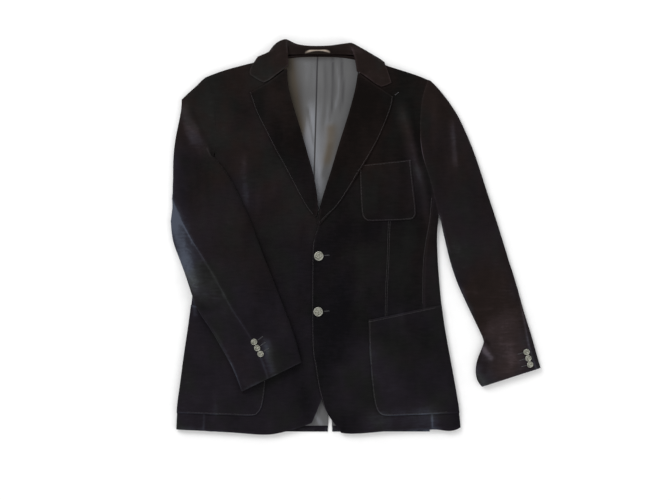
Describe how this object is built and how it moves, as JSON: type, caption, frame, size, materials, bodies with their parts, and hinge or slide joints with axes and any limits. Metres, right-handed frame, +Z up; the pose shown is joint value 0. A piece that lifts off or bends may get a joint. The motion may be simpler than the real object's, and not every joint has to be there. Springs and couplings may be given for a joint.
{
  "type": "blazer",
  "caption": "Short-pile velvet blazer with notch lapels, patch pockets and metal buttons, laid out flat on its back with one sleeve folded across the front.",
  "frame": {"origin": "under the middle of the garment's outline, on the surface that it lies on", "axes": "+Y from hem to collar, +X towards the wearer's left, which is the picture's right, +Z up out of the surface"},
  "size_m": [0.7412, 0.7916, 0.0324],
  "materials": {
    "velvet": "dark short-pile velvet with a soft nap sheen",
    "lining": "blue-grey satin",
    "label": "plain woven tape",
    "button": "dull mottled metal"
  },
  "bodies": {
    "root": {"back_left": "velvet", "back_right": "velvet", "side_panel_left": "velvet", "side_panel_right": "velvet", "front_left": "velvet", "front_right": "velvet", "lapel_left": "velvet", "lapel_right": "velvet", "collar": "velvet", "sleeve_left_top": "velvet", "sleeve_left_under": "velvet", "sleeve_right_top": "velvet", "sleeve_right_under": "velvet", "chest_pocket": "velvet", "lower_pocket_left": "velvet", "lower_pocket_right": "velvet", "lining_back_left": "lining", "lining_back_right": "lining", "neck_label": "label", "front_button_upper": "button", "front_button_lower": "button", "cuff_button_right_1": "button", "cuff_button_right_2": "button", "cuff_button_right_3": "button", "cuff_button_left_1": "button", "cuff_button_left_2": "button", "cuff_button_left_3": "button"}
  },
  "joints": []
}
